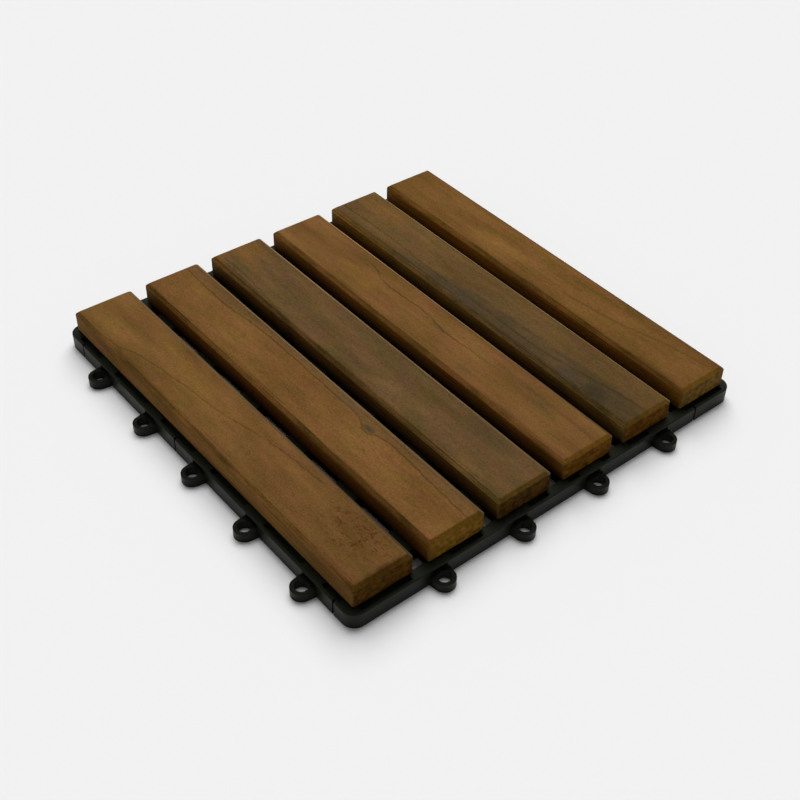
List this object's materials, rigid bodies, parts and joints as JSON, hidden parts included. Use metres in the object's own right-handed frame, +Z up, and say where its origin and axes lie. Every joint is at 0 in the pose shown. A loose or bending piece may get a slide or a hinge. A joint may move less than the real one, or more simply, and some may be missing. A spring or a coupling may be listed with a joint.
{
  "type": "interlocking deck tile",
  "caption": "Square outdoor deck tile: stained hardwood slats screwed onto a black plastic grid with loops on two sides and pins on the other two.",
  "frame": {"origin": "on the floor, under the middle of the square base, loops not counted", "axes": "+Z up; slats run along Y; loops stand out of the -X and -Y sides, pins hang behind the +X and +Y sides"},
  "size_m": [0.3108, 0.3108, 0.0255],
  "materials": {
    "plastic_grid": "moulded, matte black",
    "slat_wood": "dark stained hardwood",
    "screw_steel": "plain stainless"
  },
  "bodies": {
    "root": {"deck_base": "plastic_grid", "slat_1": "slat_wood", "slat_2": "slat_wood", "slat_3": "slat_wood", "slat_4": "slat_wood", "slat_5": "slat_wood", "slat_6": "slat_wood", "slat_screws": "screw_steel"}
  },
  "joints": []
}
